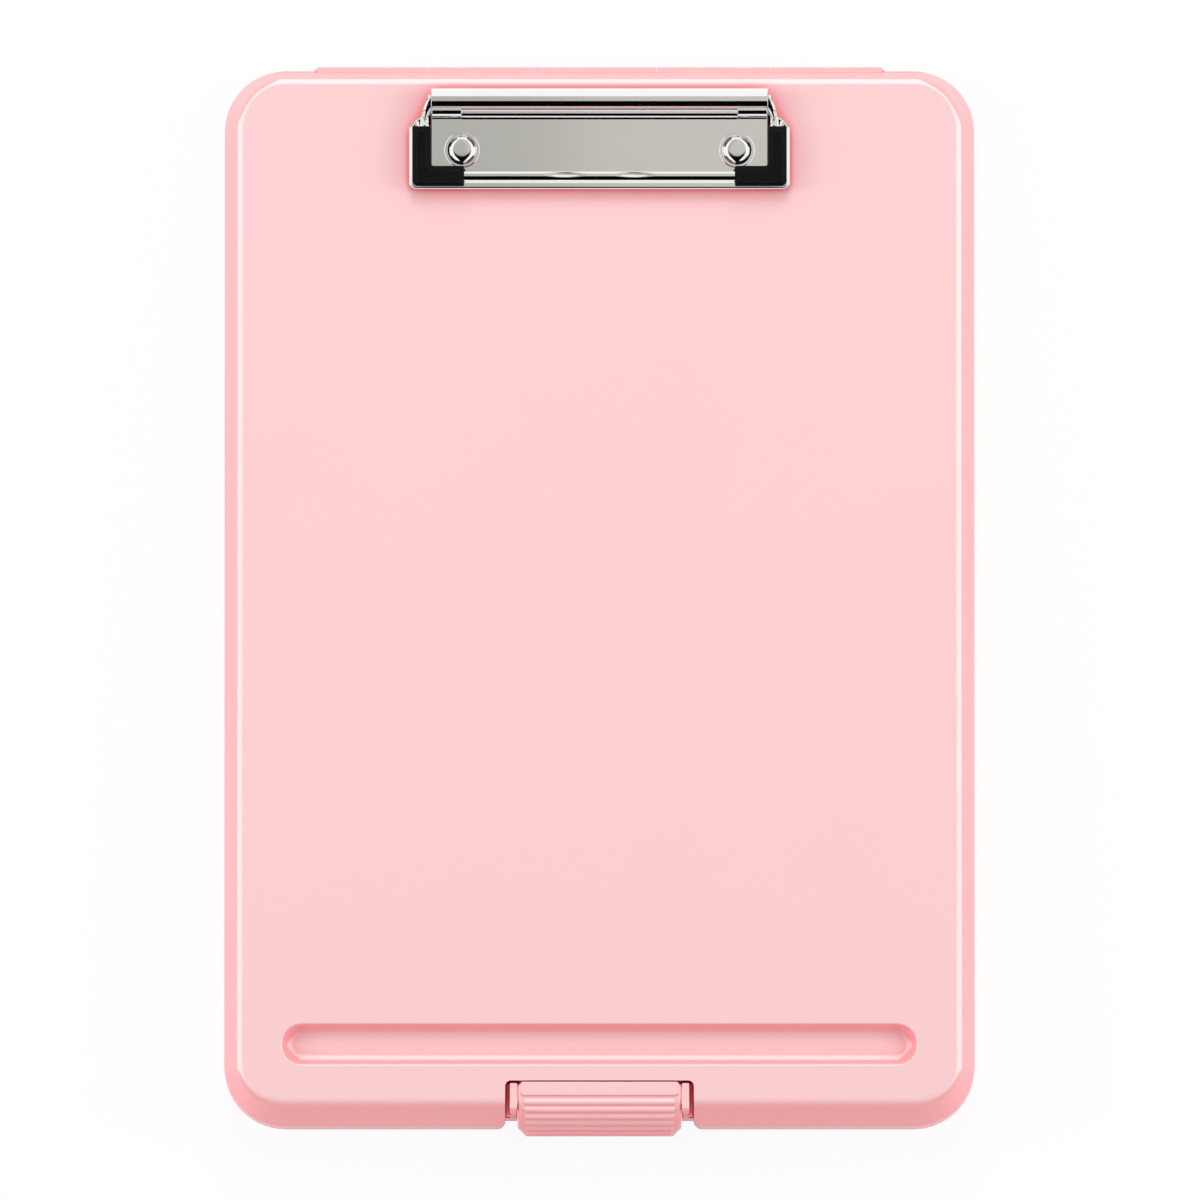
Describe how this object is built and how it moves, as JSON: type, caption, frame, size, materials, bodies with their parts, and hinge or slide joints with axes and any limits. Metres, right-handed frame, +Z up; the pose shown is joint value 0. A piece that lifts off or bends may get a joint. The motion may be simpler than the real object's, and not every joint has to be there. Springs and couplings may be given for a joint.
{
  "type": "storage clipboard box",
  "caption": "Flat letter-size case whose hinged lid is a clipboard, with a low sprung paper clip, a pen groove, a divided tray inside and a ridged latch at the front.",
  "frame": {"origin": "centre of the tray's flat underside", "axes": "+X to the right and +Y towards the hinge and clip as the case lies in front of its user, +Z up through the lid; the latch is at -Y"},
  "size_m": [0.24, 0.3423, 0.0316],
  "materials": {
    "pink_plastic": "injection-moulded polypropylene, pale pink, satin",
    "chromed_steel": "pressed sheet steel, bright nickel-chrome plating",
    "steel": "drawn steel wire and rod, zinc plated",
    "black_rubber": "moulded black rubber, slightly glossy"
  },
  "bodies": {
    "tray": {"base_tray": "pink_plastic", "hinge_pin": "steel", "latch_pin": "steel"},
    "latch": {"latch": "pink_plastic"},
    "lid": {"lid": "pink_plastic", "clip_plate": "chromed_steel", "clip_rivets": "chromed_steel", "rivet_washers": "steel", "clip_pivot_pin": "steel", "clip_spring_left": "steel", "clip_spring_right": "steel"},
    "jaw": {"clip_jaw": "chromed_steel", "rubber_grip_left": "black_rubber", "rubber_grip_right": "black_rubber"}
  },
  "joints": [
    {"name": "lid_hinge", "type": "hinge", "parent": "tray", "child": "lid", "pos_m": [0, 0.16815, 0.01615], "axis": [-1, 0, 0], "range_deg": [0, 120]},
    {"name": "latch_pivot", "type": "hinge", "parent": "tray", "child": "latch", "pos_m": [0, -0.16255, 0.011], "axis": [1, 0, 0], "range_deg": [0, 75]},
    {"name": "clip_pivot", "type": "hinge", "parent": "lid", "child": "jaw", "pos_m": [0, 0.1557, 0.028], "axis": [-1, 0, 0], "range_deg": [0, 28], "stiffness_Nm_per_rad": 0.35, "springref_deg": -40.11, "deforming": ["clip_spring_left", "clip_spring_right"]}
  ]
}
